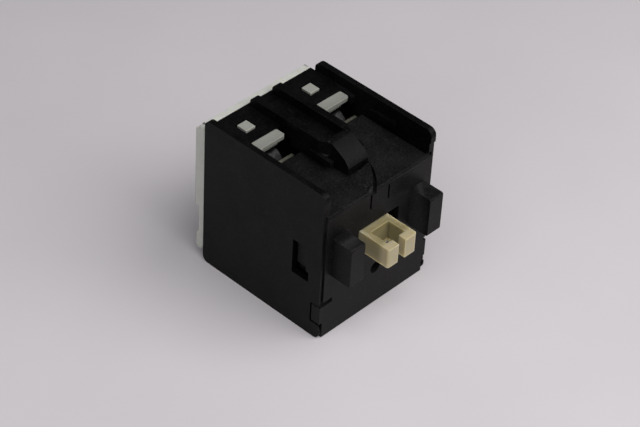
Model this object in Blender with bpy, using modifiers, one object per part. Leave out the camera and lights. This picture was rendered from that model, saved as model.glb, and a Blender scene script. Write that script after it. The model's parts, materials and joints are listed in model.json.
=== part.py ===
"""Double-pole slide switch with push-in terminals, for mounting inside a hand power tool.

Origin: bottom centre of the whole switch. The actuator faces -Y, the rear cover +Y, +Z is up.
Lengths below are in millimetres, and MM turns them into metres when a shape is made.
"""

import math

import bmesh
import bpy
from mathutils import Matrix, Vector

MM = 0.001
GAP = 0.3                     # clearance between neighbouring pieces

# Casing
WIDTH = 26.5                  # over the two side panels
HEIGHT = 30.9                 # of the side panels
PANEL = 1.15                  # side panel thickness
FRONT_Y = -12.0               # front face of the front wall
REAR_Y = 16.0                 # rear edge of the left panel and of the terminal floors
RIGHT_REAR_Y = 15.0           # rear edge of the right panel
PANEL_CORNER = 1.3            # radius of a panel's corners
MID_Z = HEIGHT / 2            # the terminals repeat above and below this height
HALF_IN = WIDTH / 2 - PANEL   # inner face of a side panel
FLOOR_TOP = 28.95             # terminal floor behind the wire wells
FLOOR_T = 1.35
FLOOR_FRONT_Y = 5.3
ROOF_TOP = 26.05              # floor of the wire wells
ROOF_T = 1.2
ROOF_REAR_Y = 3.3
SHELF_TOP = 22.6              # shelf that carries the terminals
SHELF_T = 1.2
SHELF_Y = (4.4, 13.5)
PARTITION = 1.0               # wall between the two poles
PARTITION_FRONT_Y = -6.5
RAIL_X = (1.9, 3.4)           # each of the two centre rails
RAIL_Y = (-2.6, 15.3)
RAIL_TAPER_Y = -0.6           # in front of here a rail narrows to the nose
WELL_RIB = 0.55               # ledges along both sides of a wire well
WELL_RIB_Z = (27.3, 28.4)
WELL_RIB_Y = (-4.2, 1.4)
NOSE_HALF = 2.35              # sloping nose in front of the rails
NOSE_CREASE = (-5.9, 29.1)    # y, z
NOSE_FRONT_Y = -6.8

# Front wall
WALL_T = 1.4
LAP_X = 12.5                  # the wall laps over the panels' inner edge to here
LAP_T = 0.7
PANEL_SETBACK = 0.25          # lower front edge of a panel, behind its top corner
SETBACK_BOTTOM, SETBACK_TOP = 2.0, 28.35
HOLE_X, HOLE_Z, HOLE_R = 0.2, 8.2, 1.15
TONGUE_X = 2.15               # half-width of the snap tongue over the actuator
TONGUE_SLIT = 0.45
TONGUE_BOTTOM = 22.2
TONGUE_TOP = 25.35            # the right-hand slit ends below the roof
MOUND_RISE = 1.05             # of the floor in front of the nose, beside the groove
MOUND_LEFT = -2.7
MOUND_SPAN = (0.35, 0.9)      # stretch of the groove that the mound lies along
NOTCH_MOUTH = (-2.55, -0.4)    # V in the front edge, left of the tongue
NOTCH_FOOT = (-2.35, -1.9)
NOTCH_DEPTH = 1.0
GROOVE_PATH = ((3.2, -4.4), (3.2, -8.3), (-2.0, -12.4))    # start, pull and end of a smooth curve
GROOVE_WIDTH, GROOVE_DEPTH = 0.65, 0.95
STEPS = (((4.7, 7.6), (-3.8, -2.0), 0.3), ((5.9, 8.8), (-2.2, -0.6), 0.5))    # x, y and rise
NICK_Z = (6.9, 7.9)           # nick in the wall's left edge, above the tab
NICK_X = (-LAP_X - 1, -LAP_X + 2.2)
NICK_DEPTH = 0.45
BOSS_X = (7.95, 11.15)
BOSS_Z = (13.2, 21.1)
BOSS_LENGTH = 4.4
TAB_Y = (-12.0, -10.1)        # tab in the notch at a panel's lower front edge
TAB_Z = (3.35, 6.9)
WINDOW_Y = (-8.4, -5.2)       # snap window in a side panel
WINDOW_Z = (11.05, 18.1)
WINDOW_FOOT_LENGTH, WINDOW_FOOT_HEIGHT = 0.6, 2.0    # the window's lower part reaches further forward
SNAP_Y = (-8.0, -5.6)
SNAP_Z = (13.0, 17.6)
SNAP_ARM_X = (10.4, 11.7)
SNAP_ARM_Z = (11.4, 17.6)
SNAP_NOSE_X = 12.4            # how far out the snap noses reach

# Actuator and carriage
ACT_X = (-4.4, 2.45)
ACT_Z = (14.8, 18.75)
ACT_LENGTH = 6.55
ACT_WALL = 1.2                # left wall of the actuator's pocket
ACT_BACK_WALL = 1.3           # right and rear walls
ACT_FLOOR = 0.45
DRAIN_R = 0.55                # drain hole in the pocket's floor
TIP_LENGTH = 1.65
TIP_GAP_X = (-1.95, -0.3)
TRAVEL = 2.4
CARRIAGE_X = (-9.7, 5.6)
CARRIAGE_Y = (-10.3, -8.9)
CARRIAGE_Z = (11.6, 19.9)
SPRING_ARM_TOP = 14.2         # the carriage's right arm is low, and carries the return spring
SPRING_Z = 12.9

# Contacts, for the right pole; the left pole lies POLE_SHIFT away along X
POLE_SHIFT = -11.8
POST_X = (2.1, 3.1)
POST_Y_END = -1.6
POST_Z = (14.0, 16.9)
BRIDGE_X = (5.4, 6.0)
BRIDGE_Y = (-5.3, -1.7)
BRIDGE_HALF = 6.15
CONTACT_OFFSET = 4.7          # of a contact, above or below mid height
CONTACT_R = 1.4
CONTACT_T = 0.7
CONTACT_GAP = 1.95            # open gap between moving and fixed contact
STRIP_T = 0.6                 # copper strip of bridges and terminals

# Terminals, one above and one below in each pole
WELL_X = 7.7                  # centre of a wire well
BUSBAR_HALF = 3.2
BUSBAR_Y = (3.6, 12.5)
BUSBAR_Z = (22.9, 23.5)
LIP_TOP = 25.9
BAR_HALF = 3.05
BAR_Y = (5.55, 7.8)
BAR_Z = (26.6, 29.2)
BAR_PLATE = 0.8               # the bar's plate, over a narrower stem
BAR_STEM_Y = (6.85, 7.6)
BAR_STEM_INSET = 0.5
CLAMP_HALF = 2.4
CLAMP_T = 0.35

# Rear cover
COVER_HALF = 12.8
COVER_Y = (16.3, 17.55)
COVER_Z = (1.6, 28.8)
PAD_Y = 18.55
PAD_Z = (11.1, 27.8)
RIDGE_Z = (1.7, 5.4)
RIDGE_Y = 18.1
PEG_HALF = 1.05
PEG_X = 7.7
PEG_Y = (10.7, 12.9)
PEG_ARM_Z = (26.15, 27.3)
PEG_TOP = 29.1

SIDES = ((-1, "left"), (1, "right"))
LEVELS = ((1, "top"), (-1, "bottom"))

COLOURS = {
    "black_plastic": ((0.013, 0.013, 0.014), 0.55, 0.0),
    "cover_plastic": ((0.42, 0.43, 0.37), 0.5, 0.0),
    "actuator_plastic": ((0.52, 0.45, 0.17), 0.35, 0.0),
    "copper": ((0.55, 0.27, 0.13), 0.35, 1.0),
    "silver": ((0.78, 0.77, 0.74), 0.3, 1.0),
    "spring_steel": ((0.5, 0.5, 0.49), 0.3, 1.0),
}


def clear_scene():
    for old in list(bpy.data.objects):
        bpy.data.objects.remove(old, do_unlink=True)


def new_collection(name, parent):
    made = bpy.data.collections.new(name)
    parent.children.link(made)
    return made


def material(name, kind):
    """A plastic or metal of its own for one sub-part."""
    colour, roughness, metallic = COLOURS[kind]
    made = bpy.data.materials.new(name + "_" + kind)
    made.use_nodes = True
    shader = made.node_tree.nodes["Principled BSDF"]
    shader.inputs["Base Color"].default_value = (*colour, 1.0)
    shader.inputs["Roughness"].default_value = roughness
    shader.inputs["Metallic"].default_value = metallic
    made.diffuse_color = (*colour, 1.0)
    return made


def flipped(span):
    """A span of heights, mirrored about mid height."""
    return (HEIGHT - span[1], HEIGHT - span[0])


def at_level(span, level):
    return span if level > 0 else flipped(span)


def at_side(span, side):
    return span if side > 0 else (-span[1], -span[0])


def mesh_object(bm, name="tool"):
    mesh = bpy.data.meshes.new(name)
    bm.to_mesh(mesh)
    bm.free()
    return bpy.data.objects.new(name, mesh)


def block(x, y, z):
    """A box between two bounds along each axis."""
    low = Vector((x[0], y[0], z[0])) * MM
    high = Vector((x[1], y[1], z[1])) * MM
    size = high - low
    place = Matrix.Translation((low + high) / 2) @ Matrix.Diagonal((*size, 1.0))
    bm = bmesh.new()
    bmesh.ops.create_cube(bm, size=1.0, matrix=place)
    return mesh_object(bm)


def rounded_block(x, y, z, axis, radius, segments=4, keep=None):
    """A box whose edges along one axis are rounded; keep picks edges by their middle point."""
    tool = block(x, y, z)
    bm = bmesh.new()
    bm.from_mesh(tool.data)
    picked = []
    for edge in bm.edges:
        run = (edge.verts[1].co - edge.verts[0].co).normalized()
        middle = (edge.verts[0].co + edge.verts[1].co) / 2 / MM
        if abs(run[axis]) > 0.99 and (keep is None or keep(middle)):
            picked.append(edge)
    bmesh.ops.bevel(bm, geom=picked, offset=radius * MM, segments=segments, profile=0.5, affect="EDGES")
    bm.to_mesh(tool.data)
    bm.free()
    return tool


def rod(start, axis, length, radius, sides=24):
    """A cylinder from a start point along +X, +Y or +Z."""
    turn = (Matrix.Rotation(math.pi / 2, 4, "Y"), Matrix.Rotation(-math.pi / 2, 4, "X"), Matrix())[axis]
    middle = Vector(start)
    middle[axis] += length / 2
    place = Matrix.Translation(middle * MM) @ turn
    bm = bmesh.new()
    size = {"radius1": radius * MM, "radius2": radius * MM, "depth": length * MM}
    bmesh.ops.create_cone(bm, cap_ends=True, segments=sides, matrix=place, **size)
    return mesh_object(bm)


def extruded(points, axis, span):
    """A flat outline, extruded along an axis: (y, z) points along X, (x, z) along Y or (x, y) along Z."""
    curve = bpy.data.curves.new("outline", "CURVE")
    curve.dimensions = "2D"
    curve.fill_mode = "BOTH"
    curve.extrude = (span[1] - span[0]) / 2 * MM
    spline = curve.splines.new("POLY")
    spline.points.add(len(points) - 1)
    for point, (across, up) in zip(spline.points, points):
        point.co = (across * MM, up * MM, 0.0, 1.0)
    spline.use_cyclic_u = True
    drawn = bpy.data.objects.new("outline", curve)
    bpy.context.scene.collection.objects.link(drawn)
    bpy.context.view_layer.update()
    seen = drawn.evaluated_get(bpy.context.evaluated_depsgraph_get())
    mesh = bpy.data.meshes.new_from_object(seen)
    bpy.data.objects.remove(drawn, do_unlink=True)
    # The rows say which of the drawing plane's x, y and normal become X, Y and Z.
    turn = (
        Matrix(((0, 0, 1), (1, 0, 0), (0, 1, 0))),
        Matrix(((1, 0, 0), (0, 0, -1), (0, 1, 0))),
        Matrix.Identity(3),
    )[axis]
    move = Vector((0, 0, 0))
    move[axis] = (span[0] + span[1]) / 2 * MM
    bm = bmesh.new()
    bm.from_mesh(mesh)
    bmesh.ops.remove_doubles(bm, verts=bm.verts, dist=1e-6)
    bmesh.ops.transform(bm, matrix=Matrix.Translation(move) @ turn.to_4x4(), verts=bm.verts)
    return mesh_object(bm)


def combine(target, operation, tools, parts):
    """Adds the tools to the target or cuts them from it, as one exact Boolean."""
    group = new_collection(target.name + "_" + operation.lower(), parts["cutters"])
    for tool in tools:
        group.objects.link(tool)
        tool.hide_render = True
        tool.display_type = "WIRE"
    joined = target.modifiers.new(operation.lower(), "BOOLEAN")
    joined.operation = operation
    joined.operand_type = "COLLECTION"
    joined.collection = group
    joined.solver = "EXACT"


def finish(name, kind, base, parts, adds=(), cuts=(), smooth=False):
    """Names a solid, gives it its material, and adds and cuts its tools."""
    base.name = name
    base.data.name = name
    base.data.materials.append(material(name, kind))
    parts["solids"].objects.link(base)
    if adds:
        combine(base, "UNION", adds, parts)
    if cuts:
        combine(base, "DIFFERENCE", cuts, parts)
    if smooth:
        base.data.shade_smooth()
        base.data.set_sharp_from_angle(angle=math.radians(35))
    base.parent = parts["root"]
    return base


def housing(parts):
    """Side panels, terminal floors, shelves, partition, rails and nose, moulded as one."""
    adds = []
    cuts = []
    inner = (-HALF_IN - 0.2, HALF_IN + 0.2)
    floor_y = (FLOOR_FRONT_Y, RIGHT_REAR_Y - PANEL_CORNER)
    rear_x = (-HALF_IN - 0.2, HALF_IN)
    adds.append(panel(1, RIGHT_REAR_Y))
    for level, _ in LEVELS:
        floor_z = at_level((FLOOR_TOP - FLOOR_T, FLOOR_TOP), level)
        adds.append(block(inner, floor_y, floor_z))
        adds.append(block(rear_x, (floor_y[1] - 0.2, REAR_Y), floor_z))
        adds.append(block(inner, SHELF_Y, at_level((SHELF_TOP - SHELF_T, SHELF_TOP), level)))
        spine = (ROOF_TOP + GAP, FLOOR_TOP)
        adds.append(block((-RAIL_X[1], RAIL_X[1]), (RAIL_Y[0], FLOOR_FRONT_Y + 0.1), at_level(spine, level)))
        for side, _ in SIDES:
            adds.append(rail(side, level))
            cuts.append(rail_taper(side, level))
            cuts.append(bar_window(side, level))
            cuts.append(peg_window(side, level))
            for edge in ((RAIL_X[1] - 0.2, RAIL_X[1] + WELL_RIB), (HALF_IN - WELL_RIB, HALF_IN + 0.2)):
                adds.append(block(at_side(edge, side), WELL_RIB_Y, at_level(WELL_RIB_Z, level)))
    half = PARTITION / 2
    under_roof = ROOF_TOP - ROOF_T - GAP
    adds.append(block((-half, half), (PARTITION_FRONT_Y, SHELF_Y[0]), (HEIGHT - under_roof, under_roof)))
    full_height = FLOOR_TOP - 0.5
    adds.append(block((-half, half), (SHELF_Y[0] - 0.3, SHELF_Y[1]), (HEIGHT - full_height, full_height)))
    adds.append(nose())
    for side, _ in SIDES:
        through = at_side((HALF_IN - 0.5, WIDTH / 2 + 1), side)
        foot_y = (WINDOW_Y[0] - WINDOW_FOOT_LENGTH, WINDOW_Y[0] + 0.1)
        foot_z = (WINDOW_Z[0], WINDOW_Z[0] + WINDOW_FOOT_HEIGHT)
        notch_y = (TAB_Y[0] - 1, TAB_Y[1] + GAP)
        notch_z = (TAB_Z[0] - GAP, TAB_Z[1] + GAP)
        setback_y = (FRONT_Y - 1, FRONT_Y + PANEL_SETBACK)
        cuts.append(block(through, WINDOW_Y, WINDOW_Z))
        cuts.append(block(through, foot_y, foot_z))
        cuts.append(block(through, notch_y, notch_z))
        lap = at_side((HALF_IN - 0.5, LAP_X + GAP), side)
        cuts.append(block(lap, (FRONT_Y - 1, FRONT_Y + LAP_T + GAP), (-1, ROOF_TOP + GAP)))
        cuts.append(block(through, setback_y, (SETBACK_BOTTOM, SETBACK_TOP)))
    return finish("housing", "black_plastic", panel(-1, REAR_Y), parts, adds, cuts)


def panel(side, rear_y):
    x = at_side((HALF_IN, WIDTH / 2), side)
    return rounded_block(x, (FRONT_Y, rear_y), (0, HEIGHT), 0, PANEL_CORNER, 5)


def rail(side, level):
    z = at_level((FLOOR_TOP - 0.7, HEIGHT), level)
    outer = HEIGHT if level > 0 else 0.0

    def far_end(middle):
        return abs(middle.z - outer) < 0.1

    return rounded_block(at_side(RAIL_X, side), RAIL_Y, z, 0, 0.9, 4, far_end)


def rail_taper(side, level):
    """Wedge that cuts the outer front corner off a rail, so that it runs into the nose."""
    outline = [
        (side * (RAIL_X[1] + 0.1), RAIL_TAPER_Y),
        (side * NOSE_HALF, RAIL_Y[0] - 0.1),
        (side * (RAIL_X[1] + 0.1), RAIL_Y[0] - 0.1),
    ]
    return extruded(outline, 2, at_level((WELL_RIB_Z[1] + 0.1, HEIGHT + 1), level))


def nose():
    """The sloping end of the two upper rails."""
    crease_y, crease_z = NOSE_CREASE
    base = ROOF_TOP + 2 * GAP
    outline = [
        (RAIL_Y[0] + 1.2, base),
        (RAIL_Y[0] + 1.2, HEIGHT - 0.15),
        (RAIL_Y[0] - 0.3, HEIGHT - 0.15),
        (crease_y, crease_z),
        (NOSE_FRONT_Y, base + 1.2),
        (NOSE_FRONT_Y, base),
    ]
    return extruded(outline, 0, (-NOSE_HALF, NOSE_HALF))


def bar_window(side, level):
    """Notch in the floor's front edge, from the rail to past a release bar."""
    x = at_side((RAIL_X[1], WELL_X + BAR_HALF + GAP), side)
    z = at_level((FLOOR_TOP - FLOOR_T - 0.5, FLOOR_TOP + 0.5), level)
    return block(x, (FLOOR_FRONT_Y - 1, BAR_Y[1] + GAP), z)


def peg_window(side, level):
    x = at_side((PEG_X - PEG_HALF - GAP, PEG_X + PEG_HALF + GAP), side)
    z = at_level((FLOOR_TOP - FLOOR_T - 0.5, FLOOR_TOP + 0.5), level)
    return block(x, (PEG_Y[0] - GAP, PEG_Y[1] + GAP), z)


def front_body(parts):
    """Front wall with the bosses, the floors of the wire wells, the snap arms and the lower tabs."""
    adds = []
    cuts = []
    core = HALF_IN - GAP
    wall_z = (0.1, ROOF_TOP)
    adds.append(block((-core, core), (FRONT_Y + 0.3, FRONT_Y + WALL_T), wall_z))
    for level, _ in LEVELS:
        z = at_level((ROOF_TOP - ROOF_T, ROOF_TOP), level)
        adds.append(block((-core, core), (FRONT_Y + 0.9, ROOF_REAR_Y), z))
    for side, _ in SIDES:
        adds.append(boss(side))
        adds.append(block(at_side((core - 1.0, WIDTH / 2 - 0.05), side), TAB_Y, TAB_Z))
        adds.append(block(at_side(SNAP_ARM_X, side), (FRONT_Y + WALL_T - 0.2, SNAP_Y[1]), SNAP_ARM_Z))
        adds.append(block(at_side((SNAP_ARM_X[1] - 0.3, SNAP_NOSE_X), side), SNAP_Y, SNAP_Z))
        slit = at_side((TONGUE_X - TONGUE_SLIT / 2, TONGUE_X + TONGUE_SLIT / 2), side)
        cuts.append(block(slit, (FRONT_Y - 1, FRONT_Y + WALL_T + 0.4), (TONGUE_BOTTOM, TONGUE_TOP)))
    slot_x = (ACT_X[0] - GAP, ACT_X[1] + TRAVEL + GAP)
    slot_z = (ACT_Z[0] - GAP, ACT_Z[1] + GAP)
    cuts.append(block(slot_x, (FRONT_Y - 1, FRONT_Y + WALL_T + 1), slot_z))
    cuts.append(rod((HOLE_X, FRONT_Y - 1, HOLE_Z), 1, WALL_T + 2, HOLE_R))
    adds.append(mound())
    cuts.append(notch())
    cuts.append(groove())
    for x, y, rise in STEPS:
        adds.append(block(x, y, (ROOF_TOP - 0.2, ROOF_TOP + rise)))
    cuts.append(block(NICK_X, (FRONT_Y - 1, FRONT_Y + NICK_DEPTH), NICK_Z))

    def upper_front(middle):
        return middle.z > MID_Z and middle.y < FRONT_Y + 0.1

    face = rounded_block((-LAP_X, LAP_X), (FRONT_Y, FRONT_Y + LAP_T), wall_z, 0, 0.65, 4, upper_front)
    return finish("front_body", "black_plastic", face, parts, adds, cuts)


def boss(side):
    x = at_side(BOSS_X, side)
    y = (FRONT_Y - BOSS_LENGTH, FRONT_Y + 0.3)

    def front_end(middle):
        return middle.y < FRONT_Y - 1

    return rounded_block(x, y, BOSS_Z, 0, 0.35, 2, front_end)


def groove_point(part):
    """Point and direction along the groove's middle line; part runs from 0 to 1."""
    start, pull, end = (Vector(point) for point in GROOVE_PATH)
    place = start * (1 - part) ** 2 + pull * 2 * part * (1 - part) + end * part ** 2
    run = (pull - start) * (1 - part) + (end - pull) * part
    return place, run.normalized()


def groove(steps=12):
    """Curved groove in the upper floor, from the nose's right corner to the front edge."""
    left = []
    right = []
    for step in range(steps + 1):
        place, run = groove_point(step / steps)
        aside = Vector((-run.y, run.x)) * GROOVE_WIDTH / 2
        left.append(place + aside)
        right.append(place - aside)
    return extruded(left + right[::-1], 2, (ROOF_TOP - GROOVE_DEPTH, ROOF_TOP + 2))


def mound(rows=9, columns=8):
    """Smooth rise in front of the nose: highest beside the groove, down to the floor at its left and front."""
    bm = bmesh.new()
    bmesh.ops.create_grid(bm, x_segments=columns, y_segments=rows, size=0.5)
    for vertex in bm.verts:
        across = vertex.co.x + 0.5
        along = vertex.co.y + 0.5
        place, _ = groove_point(MOUND_SPAN[0] + (MOUND_SPAN[1] - MOUND_SPAN[0]) * along)
        rise = MOUND_RISE * across * across * (3 - 2 * across) * math.cos(along * math.pi / 2)
        x = MOUND_LEFT + (place.x - MOUND_LEFT) * across
        vertex.co = Vector((x, place.y, ROOF_TOP + rise - 0.02)) * MM
    lowered = bmesh.ops.extrude_face_region(bm, geom=bm.faces[:])["geom"]
    for part in lowered:
        if isinstance(part, bmesh.types.BMVert):
            part.co.z = (ROOF_TOP - 0.3) * MM
    bmesh.ops.recalc_face_normals(bm, faces=bm.faces)
    return mesh_object(bm)


def notch():
    """V in the front edge, between the left half of the wall and the tongue."""
    foot_z = ROOF_TOP - NOTCH_DEPTH
    over_z = ROOF_TOP + 1
    spread = 1 + 1 / NOTCH_DEPTH
    outline = [
        (NOTCH_FOOT[0], foot_z),
        (NOTCH_FOOT[1], foot_z),
        (NOTCH_FOOT[1] + (NOTCH_MOUTH[1] - NOTCH_FOOT[1]) * spread, over_z),
        (NOTCH_FOOT[0] + (NOTCH_MOUTH[0] - NOTCH_FOOT[0]) * spread, over_z),
    ]
    return extruded(outline, 1, (FRONT_Y - 1, FRONT_Y + WALL_T - 0.1))


def rear_cover(parts):
    """Cover plate with its raised pad and ridge, and four pegs on arms that snap into the floors."""
    adds = []
    adds.append(rounded_block((-COVER_HALF, COVER_HALF), (COVER_Y[0] + 0.3, PAD_Y), PAD_Z, 0, 0.5, 3))
    adds.append(rounded_block((-COVER_HALF, COVER_HALF), (COVER_Y[0] + 0.3, RIDGE_Y), RIDGE_Z, 0, 0.7, 3))
    for level, _ in LEVELS:
        for side, _ in SIDES:
            x = at_side((PEG_X - PEG_HALF, PEG_X + PEG_HALF), side)
            adds.append(block(x, (PEG_Y[0], COVER_Y[0] + 0.3), at_level(PEG_ARM_Z, level)))
            adds.append(block(x, PEG_Y, at_level((PEG_ARM_Z[1] - 0.2, PEG_TOP), level)))
    plate = rounded_block((-COVER_HALF, COVER_HALF), COVER_Y, COVER_Z, 1, 1.0, 4)
    return finish("rear_cover", "cover_plastic", plate, parts, adds)


def slider(parts):
    """Actuator with its forked pocket, and the carriage behind the front wall."""
    tip_y = FRONT_Y - ACT_LENGTH
    pocket_x = (ACT_X[0] + ACT_WALL, ACT_X[1] - ACT_BACK_WALL)
    pocket_y = (tip_y + TIP_LENGTH, FRONT_Y - ACT_BACK_WALL)
    right_arm = (POST_X[1], CARRIAGE_X[1] + 1)
    cuts = [
        block(pocket_x, pocket_y, (ACT_Z[0] + ACT_FLOOR, ACT_Z[1] + 1)),
        block(TIP_GAP_X, (tip_y - 1, tip_y + TIP_LENGTH + 0.1), (ACT_Z[0] - 1, ACT_Z[1] + 1)),
        rod((pocket_x[1] - 0.7, pocket_y[1] - 0.95, ACT_Z[0] - 1), 2, ACT_FLOOR + 2, DRAIN_R, 16),
        block(right_arm, (CARRIAGE_Y[0] - 0.1, POST_Y_END), (SPRING_ARM_TOP, CARRIAGE_Z[1] + 1)),
    ]
    adds = [block(CARRIAGE_X, CARRIAGE_Y, CARRIAGE_Z)]
    for shift in (0.0, POLE_SHIFT):
        post = (POST_X[0] + shift, POST_X[1] + shift)
        adds.append(block(post, (CARRIAGE_Y[1] - 0.3, POST_Y_END), POST_Z))

    def tip_edge(middle):
        return middle.y < FRONT_Y - 1

    grip = rounded_block(ACT_X, (tip_y, CARRIAGE_Y[0] + 0.3), ACT_Z, 2, 0.5, 3, tip_edge)
    made = finish("slider", "actuator_plastic", grip, parts, adds, cuts)
    made.parent = parts["slider_axis"]
    return made


def coil(name, start, length, radius, wire, turns, parts):
    """A compression spring along +X."""
    curve = bpy.data.curves.new(name, "CURVE")
    curve.dimensions = "3D"
    curve.bevel_depth = wire / 2 * MM
    curve.bevel_resolution = 1
    curve.use_fill_caps = True
    steps = turns * 10
    spline = curve.splines.new("POLY")
    spline.points.add(steps)
    run = length - wire
    for step, point in enumerate(spline.points):
        turn = 2 * math.pi * turns * step / steps
        x = start[0] + wire / 2 + run * step / steps
        y = start[1] + (radius - wire / 2) * math.cos(turn)
        z = start[2] + (radius - wire / 2) * math.sin(turn)
        point.co = (x * MM, y * MM, z * MM, 1.0)
    made = bpy.data.objects.new(name, curve)
    curve.materials.append(material(name, "spring_steel"))
    parts["solids"].objects.link(made)
    made.parent = parts["root"]
    return made


def springs(parts):
    middle_y = (BRIDGE_Y[0] + BRIDGE_Y[1]) / 2
    start = CARRIAGE_X[1] + GAP
    length = SNAP_ARM_X[0] - GAP - start
    coil("return_spring", (start, -8.9, SPRING_Z), length, 1.3, 0.3, 5, parts)
    for shift, name in ((POLE_SHIFT, "left"), (0.0, "right")):
        start = POST_X[1] + GAP + shift
        length = BRIDGE_X[0] - GAP - POST_X[1] - GAP
        coil("contact_spring_" + name, (start, middle_y, MID_Z), length, 1.2, 0.25, 4, parts)


def contacts(parts):
    """Moving bridges with their contact rivets, and the fixed contacts that they meet."""
    middle_y = (BRIDGE_Y[0] + BRIDGE_Y[1]) / 2
    for shift, name in ((POLE_SHIFT, "left"), (0.0, "right")):
        bridge_x = (BRIDGE_X[0] + shift, BRIDGE_X[1] + shift)
        strip = rounded_block(bridge_x, BRIDGE_Y, (MID_Z - BRIDGE_HALF, MID_Z + BRIDGE_HALF), 0, 1.0, 3)
        made = finish("contact_bridge_" + name, "copper", strip, parts)
        made.parent = parts["bridge_axis_" + name]
        moving_x = bridge_x[1] + GAP
        fixed_x = moving_x + CONTACT_T + CONTACT_GAP
        for level, height in LEVELS:
            z = MID_Z + level * CONTACT_OFFSET
            rivet = rod((moving_x, middle_y, z), 0, CONTACT_T, CONTACT_R)
            made = finish("moving_contact_" + name + "_" + height, "silver", rivet, parts, smooth=True)
            made.parent = parts["bridge_axis_" + name]
            rivet = rod((fixed_x, middle_y, z), 0, CONTACT_T, CONTACT_R)
            finish("fixed_contact_" + name + "_" + height, "silver", rivet, parts, smooth=True)


def terminal(side, side_name, level, level_name, parts):
    """Contact tongue, busbar under the clamp, and the upturned lip at the wire entry."""
    shift = 0.0 if side > 0 else POLE_SHIFT
    tongue_x = BRIDGE_X[1] + 2 * GAP + 2 * CONTACT_T + CONTACT_GAP + shift
    tongue_z = (MID_Z + CONTACT_OFFSET - CONTACT_R - 0.5, BUSBAR_Z[1])
    bus_x = at_side((WELL_X - BUSBAR_HALF, WELL_X + BUSBAR_HALF), side)
    cross_x = (min(bus_x[0], tongue_x), max(bus_x[1], tongue_x + STRIP_T))
    bus_z = at_level(BUSBAR_Z, level)
    adds = [
        block((tongue_x + STRIP_T - 2.0, tongue_x + STRIP_T), (BRIDGE_Y[0], 1.8), bus_z),
        block(cross_x, (0.9, 3.0), bus_z),
        block(bus_x, (2.2, BUSBAR_Y[1]), bus_z),
        block(bus_x, (BUSBAR_Y[0], BUSBAR_Y[0] + STRIP_T), at_level((BUSBAR_Z[0], LIP_TOP), level)),
    ]
    tongue = block((tongue_x, tongue_x + STRIP_T), BRIDGE_Y, at_level(tongue_z, level))
    finish("terminal_" + side_name + "_" + level_name, "copper", tongue, parts, adds)


def clamp_points():
    """Side view of a clamp spring: a leg on the busbar, a round bend and a leg down to the wire."""
    bend_y, bend_z, bend_r = 11.0, 24.85, 0.8
    points = [(6.3, bend_z - bend_r)]
    for step in range(9):
        turn = -math.pi / 2 + math.pi * step / 8
        points.append((bend_y + bend_r * math.cos(turn), bend_z + bend_r * math.sin(turn)))
    points += [(7.3, 25.75), (6.7, 25.45), (5.3, 24.25)]
    return points


def clamp_spring(side, side_name, level, level_name, parts):
    centre = WELL_X * side
    bm = bmesh.new()
    rows = []
    for y, z in clamp_points():
        height = z if level > 0 else HEIGHT - z
        rows.append(bm.verts.new(Vector((centre - CLAMP_HALF, y, height)) * MM))
    for first, second in zip(rows, rows[1:]):
        bm.edges.new((first, second))
    swept = bmesh.ops.extrude_edge_only(bm, edges=bm.edges[:])["geom"]
    moved = [part for part in swept if isinstance(part, bmesh.types.BMVert)]
    bmesh.ops.translate(bm, verts=moved, vec=(2 * CLAMP_HALF * MM, 0, 0))
    bmesh.ops.recalc_face_normals(bm, faces=bm.faces)
    leaf = mesh_object(bm)
    made = finish("clamp_spring_" + side_name + "_" + level_name, "spring_steel", leaf, parts, smooth=True)
    thick = made.modifiers.new("thickness", "SOLIDIFY")
    thick.thickness = CLAMP_T * MM
    thick.offset = 0.0
    thick.use_even_offset = True


def release_bar(side, side_name, level, level_name, parts):
    """White bar that is pressed into the floor to free the wire under it."""
    x = at_side((WELL_X - BAR_HALF, WELL_X + BAR_HALF), side)
    plate_bottom = BAR_Z[1] - BAR_PLATE
    plate = rounded_block(x, BAR_Y, at_level((plate_bottom, BAR_Z[1]), level), 2, 0.6, 3)
    stem_x = (x[0] + BAR_STEM_INSET, x[1] - BAR_STEM_INSET)
    stem = block(stem_x, BAR_STEM_Y, at_level((BAR_Z[0], plate_bottom + 0.2), level))
    name = side_name + "_" + level_name
    made = finish("release_bar_" + name, "cover_plastic", plate, parts, [stem])
    made.parent = parts["release_axis_" + name]


def axis_empty(name, place, parts):
    empty = bpy.data.objects.new(name, None)
    empty.empty_display_size = 2 * MM
    empty.location = Vector(place) * MM
    parts["solids"].objects.link(empty)
    parts[name] = empty


def make_axes(parts):
    """Empties on the lines that the moving pieces slide along."""
    axis_empty("root", (0, 0, 0), parts)
    axis_empty("slider_axis", ((ACT_X[0] + ACT_X[1]) / 2, FRONT_Y, (ACT_Z[0] + ACT_Z[1]) / 2), parts)
    middle_y = (BRIDGE_Y[0] + BRIDGE_Y[1]) / 2
    for shift, name in ((POLE_SHIFT, "left"), (0.0, "right")):
        axis_empty("bridge_axis_" + name, (BRIDGE_X[0] + shift, middle_y, MID_Z), parts)
    for side, side_name in SIDES:
        for level, level_name in LEVELS:
            place = (WELL_X * side, sum(BAR_Y) / 2, MID_Z + level * (BAR_Z[0] - MID_Z))
            axis_empty("release_axis_" + side_name + "_" + level_name, place, parts)


def keep_places():
    """Parents that stand away from the origin leave their children where they were made."""
    bpy.context.view_layer.update()
    for item in bpy.data.objects:
        if item.parent and item.parent.type == "EMPTY":
            item.matrix_parent_inverse = item.parent.matrix_world.inverted()


def main():
    clear_scene()
    scene = bpy.context.scene.collection
    parts = {"solids": new_collection("slide_switch", scene), "cutters": new_collection("cutters", scene)}
    parts["cutters"].hide_render = True
    make_axes(parts)
    housing(parts)
    front_body(parts)
    rear_cover(parts)
    slider(parts)
    springs(parts)
    contacts(parts)
    for side, side_name in SIDES:
        for level, level_name in LEVELS:
            terminal(side, side_name, level, level_name, parts)
            clamp_spring(side, side_name, level, level_name, parts)
            release_bar(side, side_name, level, level_name, parts)
    keep_places()


main()
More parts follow.
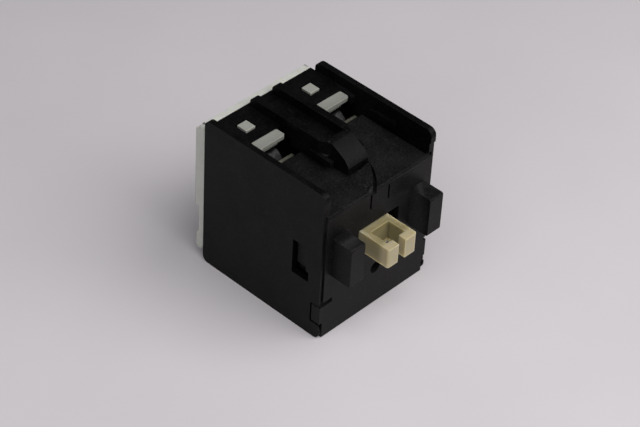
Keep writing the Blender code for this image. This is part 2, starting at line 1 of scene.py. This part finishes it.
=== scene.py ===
"""Looks of the double-pole slide switch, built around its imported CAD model.

The CAD frame is in metres: -Y is the front with the actuator, +Z is up. Lengths named here are in
millimetres, and MM turns them into metres.
"""

import json
import math

import bmesh
import bpy
from mathutils import Matrix, Vector

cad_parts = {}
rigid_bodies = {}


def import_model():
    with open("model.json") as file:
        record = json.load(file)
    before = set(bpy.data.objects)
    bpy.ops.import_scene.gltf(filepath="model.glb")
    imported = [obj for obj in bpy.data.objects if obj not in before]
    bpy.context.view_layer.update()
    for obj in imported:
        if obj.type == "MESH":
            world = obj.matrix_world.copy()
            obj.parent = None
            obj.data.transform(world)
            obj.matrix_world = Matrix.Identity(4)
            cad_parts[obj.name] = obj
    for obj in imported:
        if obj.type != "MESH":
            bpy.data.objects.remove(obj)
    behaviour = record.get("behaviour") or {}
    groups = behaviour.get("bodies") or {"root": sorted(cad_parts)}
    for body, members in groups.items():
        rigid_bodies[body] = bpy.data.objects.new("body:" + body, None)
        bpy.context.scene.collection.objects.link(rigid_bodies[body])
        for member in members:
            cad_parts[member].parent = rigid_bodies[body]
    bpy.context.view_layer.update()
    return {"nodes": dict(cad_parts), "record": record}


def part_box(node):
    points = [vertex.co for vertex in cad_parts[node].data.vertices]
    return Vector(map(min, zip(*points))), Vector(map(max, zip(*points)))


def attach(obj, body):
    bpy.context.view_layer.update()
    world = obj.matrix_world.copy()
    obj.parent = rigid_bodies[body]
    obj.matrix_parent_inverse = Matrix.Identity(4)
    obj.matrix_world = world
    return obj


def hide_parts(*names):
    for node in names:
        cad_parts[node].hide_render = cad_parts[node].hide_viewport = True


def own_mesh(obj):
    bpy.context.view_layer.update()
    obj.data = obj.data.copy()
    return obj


MM = 0.001

# Camera: angles in degrees, lens in the same unit as the sensor's width, and the point that it looks at
CAMERA_AZIMUTH = -48.24
CAMERA_ELEVATION = 40.02
CAMERA_ROLL = 3.43
CAMERA_DISTANCE = 381.2
CAMERA_AIM = (-0.94, 0.20, 13.19)
CAMERA_LENS = 125.8
SENSOR = 36.0

# Lights: azimuth and elevation in degrees as for the camera, power in watts
KEY_DIRECTION = (22, 54)
KEY_DISTANCE = 400
KEY_SIZE = 400
KEY_POWER = 1.62
KEY_COLOUR = (1.0, 0.97, 0.975)
FILL_DIRECTION = (-65, 55)
FILL_DISTANCE = 440
FILL_SIZE = 440
FILL_POWER = 1.0
FILL_COLOUR = (0.98, 0.975, 1.0)
LIGHT_AIM_HEIGHT = 15
WORLD_COLOUR = (0.93, 0.94, 1.0)
WORLD_STRENGTH = 0.06

FLOOR_REACH = 1500            # from the middle of the floor to its edge
FLOOR_DARK = (0.60, 0.58, 0.595)
FLOOR_LIGHT = (0.64, 0.62, 0.635)

BUMP_HEIGHT = 0.03            # height of the moulding grain
LINE_HEIGHT = 0.006           # height of the fine lines on metal
TURN_NONE, TURN_FULL = 0.995, 0.85    # cosines of the turns that count as flat and as a full edge

# Edges: angles in degrees, the widths of the rounding, and the number of strips across it
SAME_POINT = 0.001            # corners closer than this become one
FLAT_ANGLE = 1.5              # faces that turn less than this become one
ROUND_ANGLE = 35              # edges sharper than this are rounded
CREASE_ANGLE = 50             # edges that are still sharper than this are shaded as creases
SHORTEST_EDGE = 0.6           # shorter edges stay sharp
ROUND_STRIPS = 3
HOUSING_ROUND = 0.14
FRONT_ROUND = 0.16
COVER_ROUND = 0.2
BAR_ROUND = 0.28
ACTUATOR_ROUND = 0.4
ACTUATOR_STRIPS = 5
RAIL_ROUND = 0.45
RAIL_STRIPS = 4
RAIL_REACH = 4.0              # the centre rails lie within this distance of the middle
RAIL_LEVEL = 0.1              # and this close to the housing's top or bottom

SIDES = ("left", "right")
LEVELS = ("top", "bottom")

for old in list(bpy.data.objects):
    bpy.data.objects.remove(old, do_unlink=True)
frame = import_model()


# ---------------------------------------------------------------- materials

class Nodes:
    """Short calls for building one material's node tree."""

    def __init__(self, name):
        self.material = bpy.data.materials.new(name)
        self.material.use_nodes = True
        self.tree = self.material.node_tree
        self.shader = self.tree.nodes["Principled BSDF"]
        self.place = self.add("ShaderNodeTexCoord").outputs["Object"]

    def add(self, kind, **settings):
        node = self.tree.nodes.new(kind)
        for key, value in settings.items():
            setattr(node, key, value)
        return node

    def link(self, source, target):
        self.tree.links.new(source, target)

    def noise(self, size, detail=2.0, roughness=0.5, stretch=None):
        """Noise whose features are about size millimetres wide."""
        node = self.add("ShaderNodeTexNoise")
        node.inputs["Scale"].default_value = 1 / (size * MM)
        node.inputs["Detail"].default_value = detail
        node.inputs["Roughness"].default_value = roughness
        place = self.place
        if stretch:
            mapping = self.add("ShaderNodeMapping")
            mapping.inputs["Scale"].default_value = stretch
            self.link(place, mapping.inputs["Vector"])
            place = mapping.outputs["Vector"]
        self.link(place, node.inputs["Vector"])
        return node.outputs["Fac"]

    def ramp(self, source, low, high, out_low=0.0, out_high=1.0):
        """Maps low..high of the source onto out_low..out_high."""
        node = self.add("ShaderNodeMapRange")
        node.inputs["From Min"].default_value = low
        node.inputs["From Max"].default_value = high
        node.inputs["To Min"].default_value = out_low
        node.inputs["To Max"].default_value = out_high
        self.link(source, node.inputs["Value"])
        return node.outputs["Result"]

    def math(self, operation, first, second):
        """Joins two values, each a number or a socket."""
        node = self.add("ShaderNodeMath", operation=operation)
        for socket, value in zip(node.inputs, (first, second)):
            if isinstance(value, (int, float)):
                socket.default_value = value
            else:
                self.link(value, socket)
        return node.outputs[0]

    def mix(self, factor, first, second):
        """Mixes two colours, each a triple or a socket."""
        node = self.add("ShaderNodeMix", data_type="RGBA")
        self.link(factor, node.inputs["Factor"])
        for socket, value in zip((node.inputs[6], node.inputs[7]), (first, second)):
            if isinstance(value, tuple):
                socket.default_value = (*value, 1.0)
            else:
                self.link(value, socket)
        return node.outputs[2]

    def edges(self, radius):
        """0 on flat ground, up to 1 where the surface turns within radius millimetres."""
        rounded = self.add("ShaderNodeBevel", samples=6)
        rounded.inputs["Radius"].default_value = radius * MM
        flat = self.add("ShaderNodeNewGeometry").outputs["Normal"]
        dot = self.add("ShaderNodeVectorMath", operation="DOT_PRODUCT")
        self.link(rounded.outputs["Normal"], dot.inputs[0])
        self.link(flat, dot.inputs[1])
        return self.ramp(dot.outputs["Value"], TURN_NONE, TURN_FULL)

    def bump(self, height, strength, distance=BUMP_HEIGHT):
        node = self.add("ShaderNodeBump")
        node.inputs["Strength"].default_value = strength
        node.inputs["Distance"].default_value = distance * MM
        self.link(height, node.inputs["Height"])
        self.link(node.outputs["Normal"], self.shader.inputs["Normal"])

    def set(self, **values):
        """Sets the shader's own inputs, with _ for each space in their names."""
        for key, value in values.items():
            self.shader.inputs[key.replace("_", " ")].default_value = value

    def colour(self, socket):
        self.link(socket, self.shader.inputs["Base Color"])

    def roughness(self, socket):
        self.link(socket, self.shader.inputs["Roughness"])


def black_plastic(name, dark, light, wear_and_highlight, gloss):
    """Fine-grained black moulding with dust specks, a little greyer along its edges, partly as rubbed wear
    and partly as a painted highlight.
    """
    made = Nodes(name)
    grain = made.noise(0.3, detail=3.0, roughness=0.65)
    clouds = made.noise(5.0, detail=3.0, roughness=0.55)
    specks = made.ramp(made.noise(0.32, detail=1.0), 0.62, 0.7)
    cloud_tone = made.ramp(clouds, 0.35, 0.65, 0.0, 0.6)
    tone = made.math("ADD", cloud_tone, made.ramp(grain, 0.38, 0.62, -0.3, 0.5))
    body = made.mix(tone, dark, light)
    # edges painted lighter: partly rubbed wear, partly a painted highlight along the turns
    patches = made.ramp(made.noise(0.9), 0.35, 0.65, 0.05, 0.7)
    rub_and_highlight = made.math("MULTIPLY", made.edges(0.16), patches)
    edged = made.mix(rub_and_highlight, body, wear_and_highlight)
    made.colour(made.mix(made.math("MULTIPLY", specks, 0.45), edged, wear_and_highlight))
    made.roughness(made.ramp(made.math("ADD", clouds, grain), 0.7, 1.3, 0.36, 0.56))
    made.bump(grain, 0.8)
    made.set(Specular_IOR_Level=gloss)
    return made.material


def pale_plastic(name, painted_shade, pale, edge_highlight, shade_fade, roughness=0.42, soften=0.35, reach=0.9):
    """Slightly translucent moulding with flow clouds.

    Along Y its colour goes from a painted shade at the first fade mark, in millimetres, to pale at the
    second, so the parts that lie deep or are thin are painted darker. Its edges lean to a lighter colour,
    a painted highlight of glow.
    """
    made = Nodes(name)
    clouds = made.noise(2.6, detail=3.0)
    grain = made.noise(0.2)
    along = made.add("ShaderNodeSeparateXYZ")
    made.link(made.place, along.inputs[0])
    # painted shade: darker along Y towards the fade's first mark, where the part lies deep or is thin
    lit_share = made.ramp(along.outputs["Y"], shade_fade[0] * MM, shade_fade[1] * MM)
    lit_share_clouded = made.math("ADD", lit_share, made.ramp(clouds, 0.3, 0.7, -0.15, 0.15))
    body = made.mix(lit_share_clouded, painted_shade, pale)
    # painted highlight: the edges are painted lighter, as a glow
    made.colour(made.mix(made.math("MULTIPLY", made.edges(0.3), 0.3), body, edge_highlight))
    made.roughness(made.ramp(grain, 0.3, 0.7, roughness - 0.06, roughness + 0.08))
    made.bump(made.math("ADD", grain, clouds), 0.22)
    made.set(Subsurface_Weight=soften, Subsurface_Radius=(1.0, 0.85, 0.5))
    made.set(Subsurface_Scale=reach * MM, Specular_IOR_Level=0.5)
    return made.material


def metal(name, dull, bright, roughness, stretch=(1, 1, 1)):
    """Rolled strip or drawn wire with fine lines and a thin tarnish."""
    made = Nodes(name)
    lines = made.noise(0.12, roughness=0.6, stretch=stretch)
    tarnish = made.noise(1.3, detail=3.0, roughness=0.6)
    made.colour(made.mix(made.ramp(tarnish, 0.35, 0.65), dull, bright))
    made.roughness(made.ramp(lines, 0.25, 0.75, roughness - 0.08, roughness + 0.12))
    made.bump(lines, 0.3, LINE_HEIGHT)
    made.set(Metallic=1.0)
    return made.material


LOOKS = {
    "housing": black_plastic(
        "housing_black",
        dark=(0.0011, 0.001, 0.0011), light=(0.0042, 0.004, 0.0041), wear_and_highlight=(0.013, 0.0128, 0.013),
        gloss=0.11,
    ),
    "front_body": black_plastic(
        "front_black",
        dark=(0.0052, 0.0049, 0.005), light=(0.014, 0.0132, 0.0134), wear_and_highlight=(0.026, 0.025, 0.026),
        gloss=0.09,
    ),
    # cover: the pegs lying deep at the front get a painted shade
    "rear_cover": pale_plastic(
        "cover_white",
        painted_shade=(0.30, 0.305, 0.27), pale=(0.56, 0.57, 0.52), edge_highlight=(0.62, 0.63, 0.59), shade_fade=(13.5, 15.5),
    ),
    # the bar's whites are darker than the cover's: a painted shade of the well that it sits in
    "release_bar": pale_plastic(
        "bar_white_painted_shade",
        painted_shade=(0.22, 0.225, 0.20), pale=(0.27, 0.275, 0.245), edge_highlight=(0.36, 0.36, 0.33), shade_fade=(5.5, 7.5),
    ),
    # actuator: the thin walls get a painted shade, the front posts stay pale
    "actuator": pale_plastic(
        "actuator_yellow",
        painted_shade=(0.235, 0.205, 0.105), pale=(0.42, 0.375, 0.24), edge_highlight=(0.43, 0.39, 0.25),
        shade_fade=(-16.2, -17.3), roughness=0.34, soften=1.0, reach=2.2,
    ),
    "copper": metal("plated_copper", (0.42, 0.42, 0.33), (0.58, 0.58, 0.48), 0.42, stretch=(1, 6, 1)),
    "contact_silver": metal("contact_silver", (0.62, 0.61, 0.58), (0.80, 0.79, 0.76), 0.3),
    "spring_steel": metal("spring_steel", (0.035, 0.035, 0.036), (0.09, 0.09, 0.09), 0.42),
}


# ---------------------------------------------------------------- pieces

def body_of(node):
    bodies = frame["record"]["behaviour"]["bodies"]
    return next(body for body, members in bodies.items() if node in members)


def slot_of(node):
    subparts = frame["record"]["subparts"]
    return next(part["material_slot"] for part in subparts if part["node"] == node)


def clean_copy(node):
    """The node's shape as a bmesh with one face for each flat side."""
    bm = bmesh.new()
    bm.from_mesh(frame["nodes"][node].data)
    bmesh.ops.remove_doubles(bm, verts=bm.verts, dist=SAME_POINT * MM)
    bmesh.ops.dissolve_limit(bm, angle_limit=math.radians(FLAT_ANGLE), verts=bm.verts, edges=bm.edges)
    return bm


def bevel(bm, edges, width, strips):
    """Rounds these edges."""
    bmesh.ops.bevel(
        bm, geom=edges, offset=width * MM, segments=strips, profile=0.5, affect="EDGES", clamp_overlap=True
    )


def round_edges(bm, width, strips=ROUND_STRIPS):
    """Rounds the outward edges, apart from the shortest."""
    picked = []
    for edge in bm.edges:
        if len(edge.link_faces) != 2 or edge.calc_length() < SHORTEST_EDGE * MM:
            continue
        if edge.is_convex and edge.calc_face_angle() > math.radians(ROUND_ANGLE):
            picked.append(edge)
    bevel(bm, picked, width, strips)


def stand_in(node, name, bm):
    """Makes the finished piece from a bmesh: it takes the node's place, body and material slot."""
    mesh = bpy.data.meshes.new(name)
    bm.to_mesh(mesh)
    bm.free()
    piece = bpy.data.objects.new(name, mesh)
    bpy.context.scene.collection.objects.link(piece)
    mesh.materials.append(LOOKS[slot_of(node)])
    mesh.shade_smooth()
    mesh.set_sharp_from_angle(angle=math.radians(CREASE_ANGLE))
    weighted = piece.modifiers.new("flat_sides", "WEIGHTED_NORMAL")
    weighted.keep_sharp = True
    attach(piece, body_of(node))
    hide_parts(node)
    return piece


def refined(node, name, width, strips=ROUND_STRIPS):
    """The node's shape with its edges rounded."""
    bm = clean_copy(node)
    round_edges(bm, width, strips)
    stand_in(node, name, bm)


def housing_shell():
    """The casing: soft ridges on the four centre rails, and finer edges on the rest."""
    bm = clean_copy("housing")
    low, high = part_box("housing")
    ridges = []
    for edge in bm.edges:
        middle = (edge.verts[0].co + edge.verts[1].co) / 2
        outermost = min(middle.z - low[2], high[2] - middle.z) < RAIL_LEVEL * MM
        along = abs(edge.verts[0].co.y - edge.verts[1].co.y) > 0.9 * edge.calc_length()
        if outermost and along and abs(middle.x) < RAIL_REACH * MM and edge.is_convex:
            ridges.append(edge)
    bevel(bm, ridges, RAIL_ROUND, RAIL_STRIPS)
    round_edges(bm, HOUSING_ROUND)
    stand_in("housing", "housing_shell", bm)


def squeezed(node, name):
    """A spring's piece, made from its node as it is, with a mesh of its own."""
    piece = stand_in(node, name, clean_copy(node))
    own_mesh(piece)


def make_springs():
    squeezed("return_spring", "return_coil")
    for side in SIDES:
        squeezed("contact_spring_" + side, "contact_coil_" + side)
        for level in LEVELS:
            name = side + "_" + level
            squeezed("clamp_spring_" + name, "clamp_leaf_" + name)


def make_pieces():
    housing_shell()
    refined("front_body", "front_shell", FRONT_ROUND)
    refined("rear_cover", "cover_shell", COVER_ROUND)
    refined("slider", "actuator_moulding", ACTUATOR_ROUND, ACTUATOR_STRIPS)
    for side in SIDES:
        for level in LEVELS:
            name = side + "_" + level
            refined("release_bar_" + name, "wire_release_" + name, BAR_ROUND)
    make_springs()
    for node, item in frame["nodes"].items():
        if not item.hide_render:
            item.data.materials.clear()
            item.data.materials.append(LOOKS[slot_of(node)])


# ---------------------------------------------------------------- stage

def floor_material():
    made = Nodes("pale_floor")
    clouds = made.noise(60.0, detail=3.0)
    made.colour(made.mix(made.ramp(clouds, 0.3, 0.7), FLOOR_DARK, FLOOR_LIGHT))
    made.bump(made.noise(0.9), 0.05)
    made.set(Roughness=0.62, Specular_IOR_Level=0.3)
    return made.material


def make_floor():
    bm = bmesh.new()
    bmesh.ops.create_grid(bm, x_segments=1, y_segments=1, size=FLOOR_REACH * MM)
    mesh = bpy.data.meshes.new("floor")
    bm.to_mesh(mesh)
    bm.free()
    floor = bpy.data.objects.new("floor", mesh)
    mesh.materials.append(floor_material())
    bpy.context.scene.collection.objects.link(floor)


def outward(azimuth, elevation):
    """The direction from the switch to a camera or light; azimuth 0 is straight in front."""
    a, e = math.radians(azimuth), math.radians(elevation)
    return Vector((math.sin(a) * math.cos(e), -math.cos(a) * math.cos(e), math.sin(e)))


def area_light(name, direction, distance, size, power, colour):
    """A square soft light that faces the middle of the switch."""
    away = outward(*direction)
    lamp = bpy.data.lights.new(name, "AREA")
    lamp.shape = "SQUARE"
    lamp.size = size * MM
    lamp.energy = power
    lamp.color = colour
    item = bpy.data.objects.new(name, lamp)
    item.rotation_euler = away.to_track_quat("Z", "Y").to_euler()
    item.location = (Vector((0, 0, LIGHT_AIM_HEIGHT)) + away * distance) * MM
    bpy.context.scene.collection.objects.link(item)


def make_light():
    world = bpy.data.worlds.new("studio")
    bpy.context.scene.world = world
    world.use_nodes = True
    background = world.node_tree.nodes["Background"]
    background.inputs["Color"].default_value = (*WORLD_COLOUR, 1.0)
    background.inputs["Strength"].default_value = WORLD_STRENGTH
    area_light("key", KEY_DIRECTION, KEY_DISTANCE, KEY_SIZE, KEY_POWER, KEY_COLOUR)
    area_light("fill", FILL_DIRECTION, FILL_DISTANCE, FILL_SIZE, FILL_POWER, FILL_COLOUR)


def make_camera():
    azimuth, roll = math.radians(CAMERA_AZIMUTH), math.radians(CAMERA_ROLL)
    back = outward(CAMERA_AZIMUTH, CAMERA_ELEVATION)
    level = Vector((math.cos(azimuth), math.sin(azimuth), 0.0))
    up = back.cross(level)
    right = level * math.cos(roll) + up * math.sin(roll)
    up = back.cross(right)
    data = bpy.data.cameras.new("camera")
    data.lens = CAMERA_LENS
    data.sensor_width = SENSOR
    data.clip_start = 0.01
    camera = bpy.data.objects.new("camera", data)
    turn = Matrix((right, up, back)).transposed().to_4x4()
    camera.matrix_world = Matrix.Translation((Vector(CAMERA_AIM) + back * CAMERA_DISTANCE) * MM) @ turn
    bpy.context.scene.collection.objects.link(camera)
    bpy.context.scene.camera = camera


make_pieces()
make_floor()
make_light()
make_camera()
bpy.context.scene.view_settings.view_transform = "Standard"
